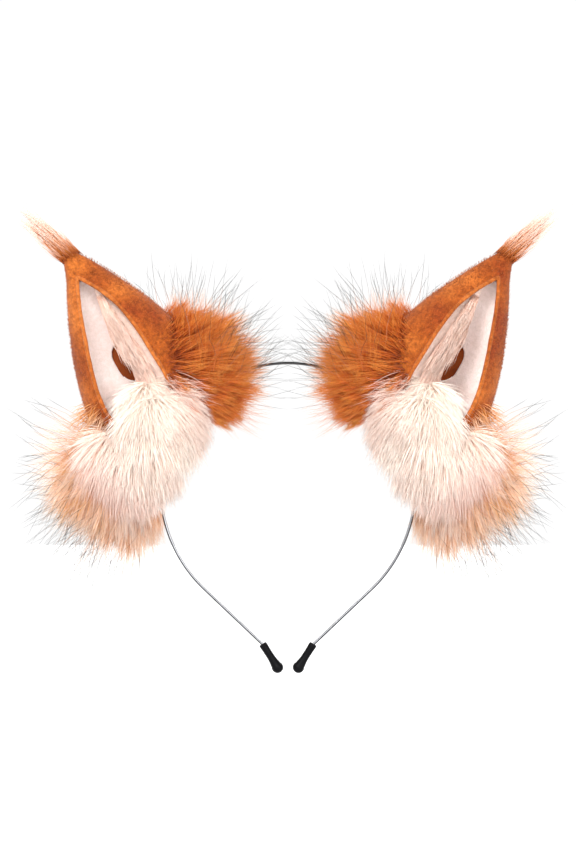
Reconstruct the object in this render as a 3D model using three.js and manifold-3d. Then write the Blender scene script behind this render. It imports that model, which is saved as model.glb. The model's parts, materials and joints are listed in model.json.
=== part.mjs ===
// Animal ears headband: a springy wire band with rubber tips, and two fur ears that slide and turn on it.
// Millimetres, +Z up. The wearer faces -Y. The origin is the inner side of the wire at the crown,
// where the band rests on the head. Everything is made once for the -X side and mirrored for the +X side.

import * as THREE from 'three';
import { mergeVertices } from 'three/addons/utils/BufferGeometryUtils.js';
import Module from 'manifold-3d';

const wasm = await Module();
wasm.setup();

const DEG = Math.PI / 180;

// ---------------------------------------------------------------- driving dimensions

const GAP = 0.3;                    // clearance between pieces that meet

const WIRE_R = 0.65;                // spring steel wire, 1.3 mm
const ARCH_R = 58.4;                // centre line of the wire over the head
const ARCH_TURN = 100 * DEG;        // from the crown to where the wider side arc begins
const SIDE_R = 64;                  // centre line of the wire beside the head
const SIDE_TURN = 36.5 * DEG;
const STRAIGHT = 36.6;              // straight run down to the tip
const TIP_BEND_R = 6;               // the wire kicks outwards where it enters the rubber tip
const TIP_BEND = 14 * DEG;
const WIRE_IN_TIP = 8;
const FLEX_AT = 24 * DEG;           // where the crown bends, seen from the arch centre
const FLEX_GAP = 0.6;

const CAP_MOUTH_R = 1.8;
const CAP_WAIST_R = 1.65;
const CAP_BALL_R = 2.65;
const CAP_TO_BALL = 12.8;           // from the mouth to the centre of the ball
const CAP_BORE_R = WIRE_R + GAP;
const CAP_BORE_DEPTH = 11;
const CAP_OVERLAP = 1.2;            // how far the mouth reaches up past the bend

const SLEEVE_FROM = 34 * DEG;       // felt tunnel round the wire
const SLEEVE_TO = 82 * DEG;
const SLEEVE_BORE_R = WIRE_R + GAP;
const SLEEVE_R = 2.2;
const THREAD_R = 0.25;
const THREAD_TURNS = 7;
const THREAD_MARGIN = 2 * DEG;

const PAD_IN_R = ARCH_R + 4.3;      // felt strip that closes the foot of the ear
const PAD_THICK = 1.6;

const EAR_FOOT = new THREE.Vector3(-60, 0, -30.75);
const EAR_LEAN = 29.4 * DEG;        // outwards from upright
const EAR_TALL = 95;                // above the foot, along the lean
const EAR_BELOW = 34;               // the shell reaches this far past the foot before it is trimmed
const EAR_HALF_WIDTH = 33;
const EAR_TAPER = 1.88;             // power of the outline's curve towards the tip
const EAR_SKIRT = 60;               // how fast the outline draws in below the foot
const EAR_MID = 6;                  // middle of the outline, towards the crown
const EAR_FLATNESS = 0.56;          // depth over width
const EAR_TOP = 93.5;
const CAVITY_TOP = 80;
const TOP_ROUND = 14;               // length over which a cavity closes at its top
const TIP_ROUND = 3;
const SHELL_THICK = 1.6;
const STIFFENER_THICK = 1;
const LINING_THICK = 1;

// mouth of the ear, seen along Y: sideways and up from the foot, from the apex round to the outer edge
const MOUTH_APEX = [3, 78.5];
const MOUTH_INNER = [[12.5, 62], [16, 42], [16.5, 20]];
const MOUTH_OUTER = [[-16.8, 20], [-12.9, 39], [-5.5, 61]];
const MOUTH_SILL = 0;

const FOLD_THICK = 1.2;
const FOLD_TURN = 24 * DEG;         // the flap comes forward towards the crown side
const FOLD_DEPTH = -1;              // where its free edge lies, from the middle of the ear

const TIP_TUFT_LONG = 25;
const TIP_TUFT_R = 5;
const TIP_TUFT_LEAN = 12.5 * DEG;

// long pile, as lumps: centre and radii, sideways, back and up from the foot
const INNER_TUFT = [
  { at: [-5, -22, -5], radii: [35, 15.5, 31] },
  { at: [-14, -20, -24], radii: [24, 13, 22] },
];
const CHEEK_FUR = [
  { at: [-34, 0, -5], radii: [22, 21, 33] },
  { at: [-18, 15, -14], radii: [24, 14, 20] },
];
const CROWN_FUR = [
  { at: [37, 0, 15], radii: [20, 23, 22] },
  { at: [12, 15, 6], radii: [26, 14, 18] },
];
const NOTCH_R = ARCH_R + 6.6;       // the fur sits astride the felt, clear of it up to this radius
const NOTCH_HALF_WIDTH = 9.3;
const CROWN_NOTCH_R = ARCH_R + 9.6; // and leaves room for the crown wire, which lifts as the band opens
const CROWN_NOTCH_HALF_WIDTH = 7.5;

// ---------------------------------------------------------------- materials

function finish(color, roughness, metalness = 0) {
  return new THREE.MeshStandardMaterial({ color, roughness, metalness });
}

const steel = finish(0xc4c6ca, 0.22, 1);
const rubber = finish(0x19191c, 0.4);
const felt = finish(0x8a5230, 0.95);
const thread = finish(0xb4652a, 0.7);
const plush = finish(0xc4611d, 0.92);
const foam = finish(0xe9e4d8, 0.9);
const lining = finish(0xe6dcd8, 0.95);
const creamFur = finish(0xfbefe2, 0.85);
const orangeFur = finish(0xc96a24, 0.85);
const peachFur = finish(0xe0a070, 0.85);

// ---------------------------------------------------------------- solids and meshes

function solidOf(geometry) {
  const bare = geometry.clone();
  bare.deleteAttribute('normal');
  bare.deleteAttribute('uv');
  const welded = mergeVertices(bare);
  const vertProperties = welded.attributes.position.array;
  const triVerts = welded.index.array;
  return new wasm.Manifold(new wasm.Mesh({ numProp: 3, vertProperties, triVerts }));
}

function geometryOf(solid) {
  const mesh = solid.getMesh();
  const geometry = new THREE.BufferGeometry();
  geometry.setAttribute('position', new THREE.BufferAttribute(mesh.vertProperties, 3));
  geometry.setIndex(new THREE.BufferAttribute(mesh.triVerts, 1));
  geometry.computeVertexNormals();
  return geometry;
}

function largestPiece(solid) {
  const pieces = solid.decompose();
  return pieces.reduce((best, piece) => (piece.volume() > best.volume() ? piece : best));
}

function named(name, geometry, material) {
  const mesh = new THREE.Mesh(geometry, material);
  mesh.name = name;
  return mesh;
}

// ---------------------------------------------------------------- the wire and what is on it

const BAND_RUNS = [
  { length: ARCH_R * ARCH_TURN, radius: ARCH_R },
  { length: SIDE_R * SIDE_TURN, radius: SIDE_R },
  { length: STRAIGHT, radius: Infinity },
  { length: TIP_BEND_R * TIP_BEND, radius: -TIP_BEND_R },
  { length: WIRE_IN_TIP, radius: Infinity },
];
const BAND_LENGTH = BAND_RUNS.reduce((sum, run) => sum + run.length, 0);

// where the centre line is at a distance from the crown, and its slope below the level
function bandAt(distance) {
  let left = Math.abs(distance);
  let x = 0;
  let z = WIRE_R;
  let slope = 0;
  for (const { length, radius } of BAND_RUNS) {
    const run = Math.min(left, length);
    if (radius === Infinity) {
      x -= run * Math.cos(slope);
      z -= run * Math.sin(slope);
    } else {
      const turned = slope + run / radius;
      x -= radius * (Math.sin(turned) - Math.sin(slope));
      z -= radius * (Math.cos(slope) - Math.cos(turned));
      slope = turned;
    }
    left -= run;
  }
  return { point: new THREE.Vector3(distance < 0 ? -x : x, 0, z), slope };
}

class BandCurve extends THREE.Curve {
  constructor(from, to) {
    super();
    this.from = from;
    this.to = to;
  }

  getPoint(t, target = new THREE.Vector3()) {
    return target.copy(bandAt(this.from + t * (this.to - this.from)).point);
  }
}

class CoilCurve extends BandCurve {
  constructor(from, to, radius, turns) {
    super(from, to);
    this.radius = radius;
    this.turns = turns;
  }

  getPoint(t, target = new THREE.Vector3()) {
    const { point, slope } = bandAt(this.from + t * (this.to - this.from));
    const angle = t * this.turns * 2 * Math.PI;
    const outwards = new THREE.Vector3(-Math.sin(slope), 0, Math.cos(slope));
    target.copy(point).addScaledVector(outwards, this.radius * Math.cos(angle));
    target.y += this.radius * Math.sin(angle);
    return target;
  }
}

function disc(radius, boreRadius = 0) {
  const shape = new THREE.Shape().absarc(0, 0, radius, 0, 2 * Math.PI);
  if (boreRadius > 0) shape.holes.push(new THREE.Path().absarc(0, 0, boreRadius, 0, 2 * Math.PI, true));
  return shape;
}

function along(curve, shape, steps, sides) {
  return new THREE.ExtrudeGeometry(shape, {
    extrudePath: curve,
    steps,
    curveSegments: sides / 2,
    bevelEnabled: false,
  });
}

function crownWire() {
  const end = ARCH_R * FLEX_AT - FLEX_GAP / 2;
  return along(new BandCurve(-end, end), disc(WIRE_R), 16, 8);
}

function armWire() {
  const start = ARCH_R * FLEX_AT + FLEX_GAP / 2;
  return along(new BandCurve(start, BAND_LENGTH), disc(WIRE_R), 50, 8);
}

function sleeve() {
  const curve = new BandCurve(ARCH_R * SLEEVE_FROM, ARCH_R * SLEEVE_TO);
  return along(curve, disc(SLEEVE_R, SLEEVE_BORE_R), 14, 8);
}

function sleeveStitching() {
  const from = ARCH_R * (SLEEVE_FROM + THREAD_MARGIN);
  const to = ARCH_R * (SLEEVE_TO - THREAD_MARGIN);
  const radius = SLEEVE_R + GAP + THREAD_R;
  return along(new CoilCurve(from, to, radius, THREAD_TURNS), disc(THREAD_R), THREAD_TURNS * 8, 4);
}

// a rubber tip, mouth at the origin, turned about Y with its ball at +Y
function capShape() {
  const profile = new THREE.Path();
  profile.moveTo(0, CAP_BORE_DEPTH);
  profile.lineTo(CAP_BORE_R, CAP_BORE_DEPTH);
  profile.lineTo(CAP_BORE_R, 0);
  profile.lineTo(CAP_MOUTH_R, 0);
  profile.bezierCurveTo(CAP_WAIST_R, 4, CAP_WAIST_R, 8, CAP_BALL_R * 0.85, CAP_TO_BALL - CAP_BALL_R * 0.5);
  profile.absarc(0, CAP_TO_BALL, CAP_BALL_R, -30 * DEG, 90 * DEG);
  const points = profile.getPoints(4);
  points[points.length - 1].x = 0;
  return new THREE.LatheGeometry(points, 12);
}

function endCap(name) {
  const { point, slope } = bandAt(BAND_LENGTH);
  const down = new THREE.Vector3(-Math.cos(slope), 0, -Math.sin(slope));
  const cap = named(name, capShape(), rubber);
  cap.quaternion.setFromUnitVectors(new THREE.Vector3(0, 1, 0), down);
  cap.position.copy(point).addScaledVector(down, -WIRE_IN_TIP - CAP_OVERLAP);
  return cap;
}

// ---------------------------------------------------------------- the ear's outline and layers

function earWidth(height) {
  if (height < 0) return EAR_HALF_WIDTH * (1 - (height / EAR_SKIRT) ** 2);
  return EAR_HALF_WIDTH * (1 - (height / EAR_TALL) ** EAR_TAPER);
}

function earDepth(height) {
  return EAR_FLATNESS * earWidth(height) + 0.6;
}

function closing(height, top, round) {
  const into = Math.max(0, (height - top + round) / round);
  return Math.sqrt(Math.max(0.01, 1 - into * into));
}

// a closed cone with the ear's outline, everywhere inset by the same amount, rounded off at its top
function earCone(inset, top, round) {
  const geometry = new THREE.CylinderGeometry(1, 1, 1, 20, 9);
  const position = geometry.attributes.position;
  for (let i = 0; i < position.count; i++) {
    const share = Math.sin((position.getY(i) + 0.5) * 90 * DEG);
    const height = -EAR_BELOW + share * (top + EAR_BELOW);
    const close = closing(height, top, round);
    const x = EAR_MID + position.getX(i) * (earWidth(height) - inset) * close;
    const y = -position.getZ(i) * (earDepth(height) - inset) * close;
    position.setXYZ(i, x, y, height);
  }
  return solidOf(geometry);
}

// a prism seen along Y, from the middle plane of the ear to far in front of it
function frontPrism(shape, depth, segments) {
  const geometry = new THREE.ExtrudeGeometry(shape, { depth, bevelEnabled: false, curveSegments: segments });
  return geometry.rotateX(90 * DEG);
}

function mouthCut(grow) {
  const inner = MOUTH_INNER.map(([x, z]) => new THREE.Vector2(x + grow, z));
  const outer = MOUTH_OUTER.map(([x, z]) => new THREE.Vector2(x - grow, z));
  const apex = new THREE.Vector2(MOUTH_APEX[0], MOUTH_APEX[1] + grow);
  const shape = new THREE.Shape();
  shape.moveTo(inner[2].x, MOUTH_SILL - grow);
  shape.lineTo(outer[0].x, MOUTH_SILL - grow);
  shape.lineTo(outer[0].x, outer[0].y);
  shape.splineThru([outer[1], outer[2], apex]);
  shape.splineThru([inner[0], inner[1], inner[2]]);
  shape.closePath();
  return solidOf(frontPrism(shape, 2 * EAR_HALF_WIDTH, 3));
}

// the arch centre, in the ear's own frame
const ARCH_CENTRE = new THREE.Vector3(0, 0, WIRE_R - ARCH_R)
  .sub(EAR_FOOT)
  .applyAxisAngle(new THREE.Vector3(0, 1, 0), EAR_LEAN);

function archDrum(radius, halfWidth) {
  const drum = new THREE.CylinderGeometry(radius, radius, 2 * halfWidth, 60);
  return solidOf(drum.translate(ARCH_CENTRE.x, 0, ARCH_CENTRE.z));
}

function earLayer(outerInset, thickness, outerTop, outerRound, innerTop, mouthGrow) {
  const outer = earCone(outerInset, outerTop, outerRound);
  const inner = earCone(outerInset + thickness, innerTop, TOP_ROUND);
  const foot = archDrum(PAD_IN_R + PAD_THICK + GAP, 2 * EAR_HALF_WIDTH);
  return geometryOf(largestPiece(outer.subtract(inner).subtract(mouthCut(mouthGrow)).subtract(foot)));
}

function earShell() {
  return earLayer(0, SHELL_THICK, EAR_TOP, TIP_ROUND, CAVITY_TOP, 0);
}

function earStiffener() {
  const inset = SHELL_THICK + GAP;
  const top = CAVITY_TOP - GAP;
  return earLayer(inset, STIFFENER_THICK, top, TOP_ROUND, top - STIFFENER_THICK, 1);
}

function earLining() {
  const inset = SHELL_THICK + STIFFENER_THICK + 2 * GAP;
  const top = CAVITY_TOP - STIFFENER_THICK - 2 * GAP;
  return earLayer(inset, LINING_THICK, top, TOP_ROUND, top - LINING_THICK, 0.5);
}

function innerFold() {
  const shape = new THREE.Shape();
  shape.moveTo(3, 12);
  shape.lineTo(4, 38);
  shape.lineTo(2.4, 45);
  shape.lineTo(6.5, 66);
  shape.quadraticCurveTo(14, 48, 14.5, 20);
  shape.lineTo(14.5, 12);
  shape.closePath();
  const plate = frontPrism(shape, FOLD_THICK, 4);
  return plate.rotateZ(-FOLD_TURN).translate(0, FOLD_DEPTH, 0);
}

// a leaf of felt as wide as the foot of the ear, curved to follow the band
function basePad() {
  const foot = earCone(SHELL_THICK / 2, EAR_TOP, TIP_ROUND);
  const beyond = archDrum(PAD_IN_R, 2 * EAR_HALF_WIDTH);
  const below = archDrum(PAD_IN_R + PAD_THICK, 2 * EAR_HALF_WIDTH);
  return geometryOf(largestPiece(foot.intersect(below).subtract(beyond)));
}

// ---------------------------------------------------------------- long pile

function lumps(list, grow = 0) {
  const solids = list.map(({ at, radii }) => {
    const ball = new THREE.SphereGeometry(1, 12, 8);
    ball.scale(radii[0] + grow, radii[1] + grow, radii[2] + grow);
    return solidOf(ball.translate(at[0], at[1], at[2]));
  });
  return solids.reduce((whole, lump) => whole.add(lump));
}

// lumps cut clear of the ear's outside, of the felt and wire below, and of the pile sewn on before it
function pile(list, before) {
  const clearOf = [
    earCone(-GAP, EAR_TOP + GAP, TIP_ROUND),
    archDrum(NOTCH_R, NOTCH_HALF_WIDTH),
    ...before.map((other) => lumps(other, GAP)),
  ];
  return clearOf.reduce((rest, cut) => rest.subtract(cut), lumps(list));
}

function innerTuft() {
  return geometryOf(largestPiece(pile(INNER_TUFT, [])));
}

function cheekFur() {
  return geometryOf(largestPiece(pile(CHEEK_FUR, [INNER_TUFT])));
}

function crownFur() {
  const rest = pile(CROWN_FUR, [INNER_TUFT, CHEEK_FUR]);
  return geometryOf(largestPiece(rest.subtract(archDrum(CROWN_NOTCH_R, CROWN_NOTCH_HALF_WIDTH))));
}

function tipTuft(name) {
  const profile = new THREE.Path();
  profile.moveTo(0, 0);
  profile.bezierCurveTo(TIP_TUFT_R, 0, TIP_TUFT_R * 1.3, TIP_TUFT_LONG * 0.5, 0, TIP_TUFT_LONG);
  const points = profile.getPoints(6);
  const tuft = named(name, new THREE.LatheGeometry(points, 8), peachFur);
  tuft.position.set(EAR_MID - 1, 0, EAR_TOP + GAP);
  tuft.rotation.set(90 * DEG, 0, TIP_TUFT_LEAN);
  return tuft;
}

// ---------------------------------------------------------------- assembly

const shared = {
  arm: armWire(),
  sleeve: sleeve(),
  stitching: sleeveStitching(),
  shell: earShell(),
  stiffener: earStiffener(),
  lining: earLining(),
  fold: innerFold(),
  pad: basePad(),
  innerTuft: innerTuft(),
  cheekFur: cheekFur(),
  crownFur: crownFur(),
};

function ear(side) {
  const group = new THREE.Group();
  group.position.copy(EAR_FOOT);
  group.rotation.y = -EAR_LEAN;
  group.add(named(side + '_ear_shell', shared.shell, plush));
  group.add(named(side + '_ear_stiffener', shared.stiffener, foam));
  group.add(named(side + '_ear_lining', shared.lining, lining));
  group.add(named(side + '_inner_fold', shared.fold, lining));
  group.add(named(side + '_base_pad', shared.pad, felt));
  group.add(named(side + '_inner_tuft', shared.innerTuft, creamFur));
  group.add(named(side + '_cheek_fur', shared.cheekFur, peachFur));
  group.add(named(side + '_crown_fur', shared.crownFur, orangeFur));
  group.add(tipTuft(side + '_tip_tuft'));
  return group;
}

function halfBand(side) {
  const group = new THREE.Group();
  group.add(named(side + '_wire_arm', shared.arm, steel));
  group.add(endCap(side + '_end_cap'));
  group.add(named(side + '_wire_sleeve', shared.sleeve, felt));
  group.add(named(side + '_sleeve_stitching', shared.stitching, thread));
  group.add(ear(side));
  return group;
}

const headband = new THREE.Group();
headband.add(named('crown_wire', crownWire(), steel));
const left = halfBand('left');
const right = halfBand('right');
right.scale.x = -1;
headband.add(left, right);

export default headband;
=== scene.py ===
"""Looks of the animal ears headband: wire band, rubber tips and two faux fur ears, built round the frame.

Ears are made once, for the -X side, in the ear's own millimetres: x towards the crown, y to the back, z up
along the ear's lean, from the middle of the ear's foot. Each piece is then placed on both sides.
"""

import json
import math

import bmesh
import bpy
import numpy as np
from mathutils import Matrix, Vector


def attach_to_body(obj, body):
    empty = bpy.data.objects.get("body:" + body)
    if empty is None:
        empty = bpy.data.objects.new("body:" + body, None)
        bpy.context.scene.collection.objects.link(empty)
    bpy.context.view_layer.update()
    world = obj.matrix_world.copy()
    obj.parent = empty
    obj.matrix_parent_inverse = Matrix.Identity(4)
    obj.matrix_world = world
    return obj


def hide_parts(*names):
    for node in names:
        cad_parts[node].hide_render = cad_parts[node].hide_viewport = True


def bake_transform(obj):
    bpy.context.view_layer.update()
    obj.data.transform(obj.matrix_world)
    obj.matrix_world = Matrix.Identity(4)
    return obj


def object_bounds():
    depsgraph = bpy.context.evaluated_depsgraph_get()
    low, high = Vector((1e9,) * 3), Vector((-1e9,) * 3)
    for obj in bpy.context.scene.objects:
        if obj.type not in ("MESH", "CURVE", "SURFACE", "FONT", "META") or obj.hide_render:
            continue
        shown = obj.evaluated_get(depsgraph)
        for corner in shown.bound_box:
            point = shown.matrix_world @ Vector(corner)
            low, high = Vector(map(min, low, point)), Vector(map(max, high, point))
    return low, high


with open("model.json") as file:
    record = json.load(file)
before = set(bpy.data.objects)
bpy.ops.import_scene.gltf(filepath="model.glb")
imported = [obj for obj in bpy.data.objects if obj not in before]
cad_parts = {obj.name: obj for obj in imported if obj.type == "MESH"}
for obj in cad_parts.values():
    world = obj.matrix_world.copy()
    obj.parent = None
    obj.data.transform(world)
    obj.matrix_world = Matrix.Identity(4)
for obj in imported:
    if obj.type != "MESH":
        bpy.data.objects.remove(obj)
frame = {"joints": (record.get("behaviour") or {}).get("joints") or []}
cad_box = [list(corner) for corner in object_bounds()]
rng = np.random.default_rng(7)

# Row millimetres to metres, and what turns the left side into each side.
MM = 0.001
FLIPS = {"left": np.ones(3), "right": np.array([-1, 1, 1])}
joint = {j["name"]: j for j in frame["joints"]}

# ---------------- driving dimensions, in millimetres

WIRE_R = 0.65
ARCH_R = 58.4
ARCH_TURN = math.radians(100)
SIDE_R = 64.0
SIDE_TURN = math.radians(36.5)
STRAIGHT = 36.6
TIP_BEND_R = 6.0
TIP_BEND = math.radians(14)
WIRE_IN_TIP = 8.0

EAR_FOOT = np.array([-60.0, 0.0, -30.75])
EAR_LEAN = math.radians(29.4)
EAR_TALL = 95.0
EAR_HALF_WIDTH = 33.0
EAR_TAPER = 1.88
EAR_SKIRT = 60.0
EAR_MID = 6.0
EAR_FLATNESS = 0.56
EAR_TOP = 93.5
EAR_BELOW = 30.0
SHELL_THICK = 1.6
LINING_INSET = 3.2
LINING_THICK = 1.0
TIP_BEND_FROM = 78.0
TIP_ASIDE = 3.2
TIP_ALONG = 3.6

ARCH_Z = joint["left_ear_slide"]["pos_m"][2] / MM
PAD_IN_R = ARCH_R + 4.3
FOOT_R = ARCH_R + 6.2


# ---------------- small tools


def srgb(*eight_bit):
    """An 8-bit sRGB colour as the linear colour a shader takes."""
    parts = [c / 255 for c in eight_bit]
    return (*[c / 12.92 if c <= 0.04045 else ((c + 0.055) / 1.055) ** 2.4 for c in parts], 1.0)


def grey(value):
    return (value, value, value, 1)


def unit(v):
    return v / np.maximum(np.linalg.norm(v, axis=-1, keepdims=True), 1e-9)


def smoothstep(x, low, high):
    t = np.clip((x - low) / (high - low), 0, 1)
    return t * t * (3 - 2 * t)


def leaned(v, lean):
    """Vectors turned by a lean in the XZ plane."""
    c, s = math.cos(lean), math.sin(lean)
    x, y, z = v[..., 0], v[..., 1], v[..., 2]
    return np.stack([x * c - z * s, y, x * s + z * c], axis=-1)


def ear_to_row(points):
    """Ear millimetres to row metres, on the -X side."""
    return (leaned(points, EAR_LEAN) + EAR_FOOT) * MM


def row_to_ear(points):
    """Row millimetres to ear millimetres."""
    return leaned(points - EAR_FOOT, -EAR_LEAN)


ARCH_CENTRE = row_to_ear(np.array([0.0, 0.0, ARCH_Z]))
DOWN = leaned(np.array([0, 0, -1]), -EAR_LEAN)
TO_CROWN = leaned(np.array([1, 0, 0]), -EAR_LEAN)


def mesh_object(name, verts, polys, uvs=None, material=None, smooth=True):
    """A mesh from vertices in metres and an array of polygons for each number of corners, with UVs alike."""
    mesh = bpy.data.meshes.new(name)
    mesh.vertices.add(len(verts))
    mesh.vertices.foreach_set("co", np.ascontiguousarray(verts, np.float32).ravel())
    loops = np.concatenate([p.ravel() for p in polys])
    totals = np.concatenate([np.full(len(p), p.shape[1]) for p in polys])
    starts = np.concatenate([[0], np.cumsum(totals)[:-1]])
    mesh.loops.add(len(loops))
    mesh.loops.foreach_set("vertex_index", loops.astype(np.int32))
    mesh.polygons.add(len(totals))
    mesh.polygons.foreach_set("loop_start", starts.astype(np.int32))
    mesh.polygons.foreach_set("use_smooth", np.where(totals > 4, False, smooth))
    if uvs is not None:
        layer = mesh.uv_layers.new(name="OFBake")
        flat = np.concatenate([u.reshape(-1, 2) for u in uvs])
        layer.data.foreach_set("uv", flat.astype(np.float32).ravel())
    mesh.update(calc_edges=True)
    if material is not None:
        mesh.materials.append(material)
    obj = bpy.data.objects.new(name, mesh)
    bpy.context.scene.collection.objects.link(obj)
    return obj


def attach(obj, side, body, slot, replaced):
    """The piece rides on its side's body and stands for that side's CAD nodes."""
    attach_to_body(obj, f"{side}_{body}")
    if replaced:
        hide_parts(*[f"{side}_{node}" for node in replaced])


def pair_of(name, points, polys, uvs, material):
    """One object on each side, the right one a mirror image."""
    for side, flip in FLIPS.items():
        order = -1 if side == "right" else 1
        faces = [p[:, ::order] for p in polys]
        corners = None if uvs is None else [u[:, ::order] for u in uvs]
        yield side, mesh_object(f"{side}_{name}", points * flip, faces, corners, material)


def on_both_sides(name, shape, material, body, slot, replaced=()):
    """A shape, as vertices in row metres, polygons and UVs, becomes a piece on each side."""
    for side, obj in pair_of(name, *shape, material):
        attach(obj, side, body, slot, replaced)


def wrapped_faces(rows, columns):
    """Quads of a grid of points stored row by row, each row closed round."""
    r, c = np.meshgrid(np.arange(rows - 1), np.arange(columns), indexing="ij")
    a = r * columns + c
    b = r * columns + (c + 1) % columns
    return np.stack([a, b, b + columns, a + columns], axis=-1).reshape(-1, 4)


def grid_faces(rows, columns):
    """The same for an open grid."""
    quads = wrapped_faces(rows, columns).reshape(rows - 1, columns, 4)
    return quads[:, :-1].reshape(-1, 4)


def wrapped_uvs(rows, columns):
    """UVs of a grid that wraps: how far round, and how far along."""
    r, c = np.meshgrid(np.arange(rows - 1), np.arange(columns), indexing="ij")
    corners = [(r, c), (r, c + 1), (r + 1, c + 1), (r + 1, c)]
    uv = np.stack([np.stack([cc / columns, rr / (rows - 1)], axis=-1) for rr, cc in corners], axis=-2)
    return uv.reshape(-1, 4, 2)


def end_polygons(rows, sides):
    """One polygon at each end of a wrapped grid."""
    return np.stack([np.arange(sides)[::-1], np.arange(sides) + (rows - 1) * sides])


def pole_fans(rows, sides):
    """Triangles that close a wrapped grid at both ends, on the two vertices that come after it."""
    j = np.arange(sides)
    k = (j + 1) % sides
    end = (rows - 1) * sides
    first = np.stack([np.full(sides, rows * sides), k, j], axis=-1)
    last = np.stack([np.full(sides, rows * sides + 1), end + j, end + k], axis=-1)
    return np.concatenate([first, last])


def tube(path, radii, sides):
    """A closed tube round a path that never runs along Y: vertices, polygons and UVs."""
    path = np.asarray(path, float)
    count = len(path)
    radii = np.broadcast_to(radii, (count,))
    along = unit(np.gradient(path, axis=0))
    out = unit(np.cross((0.0, 1.0, 0.0), along))
    flat = unit(np.cross(along, out))
    turn = np.arange(sides) / sides * 2 * np.pi
    ring = np.cos(turn)[None, :, None] * out[:, None] + np.sin(turn)[None, :, None] * flat[:, None]
    verts = (path[:, None] + radii[:, None, None] * ring).reshape(-1, 3)
    polys = [wrapped_faces(count, sides), end_polygons(count, sides)]
    end_uv = np.stack([0.5 + 0.01 * np.cos(turn), 0.01 + 0.005 * np.sin(turn)], axis=-1)
    return verts, polys, [wrapped_uvs(count, sides), np.stack([end_uv, end_uv])]


# ---------------- camera, light and floor

VIEW_TALL = 397.44
VIEW_CENTRE_Z = -31.07
LENS = 135.0
SENSOR = 36.0
FLOOR_BELOW = 0.36
FLOOR_HALF = 12.0


def aim(obj, target):
    obj.rotation_mode = "QUATERNION"
    obj.rotation_quaternion = (Vector(target) - obj.location).to_track_quat("-Z", "Y")


def camera():
    data = bpy.data.cameras.new("camera")
    data.lens = LENS
    data.sensor_width = SENSOR
    data.clip_end = 50
    obj = bpy.data.objects.new("camera", data)
    distance = VIEW_TALL * MM * LENS / SENSOR
    obj.location = (0, -distance, VIEW_CENTRE_Z * MM)
    bpy.context.scene.collection.objects.link(obj)
    aim(obj, (0, 0, VIEW_CENTRE_Z * MM))
    bpy.context.scene.camera = obj


def sun(name, place, strength, angle):
    """Soft light from one side, the same everywhere, so the floor stays even as far as it goes."""
    data = bpy.data.lights.new(name, "SUN")
    data.energy = strength
    data.angle = math.radians(angle)
    obj = bpy.data.objects.new(name, data)
    obj.location = place
    bpy.context.scene.collection.objects.link(obj)
    aim(obj, (0, 0, 0))


def studio():
    world = bpy.data.worlds.new("studio")
    world.use_nodes = True
    world.node_tree.nodes["Background"].inputs["Color"].default_value = (1, 1, 1, 1)
    world.node_tree.nodes["Background"].inputs["Strength"].default_value = 1.03
    bpy.context.scene.world = world
    bpy.context.scene.view_settings.view_transform = "Standard"
    sun("key", (-0.45, -1.3, 1.0), 2.6, 20)
    sun("fill", (0.9, -1.3, 0.2), 1.4, 40)
    sun("front", (0.0, -1.0, 0.05), 1.0, 60)
    sun("rim", (0.3, 1.2, 0.8), 1.2, 40)
    cycles = bpy.context.scene.cycles
    cycles.diffuse_bounces = 16
    cycles.max_bounces = 20
    white = bpy.data.materials.new("floor_white")
    white.use_nodes = True
    shader = white.node_tree.nodes["Principled BSDF"]
    shader.inputs["Base Color"].default_value = (0.8, 0.8, 0.8, 1)
    shader.inputs["Roughness"].default_value = 0.9
    shader.inputs["Specular IOR Level"].default_value = 0.1
    half = FLOOR_HALF
    corners = np.array([[-half, -half, 0], [half, -half, 0], [half, half, 0], [-half, half, 0]])
    floor = mesh_object("floor", corners, [np.array([[0, 1, 2, 3]])], material=white, smooth=False)
    floor.location.z = cad_box[0][2] - FLOOR_BELOW


camera()
studio()

# ---------------- materials


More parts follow.
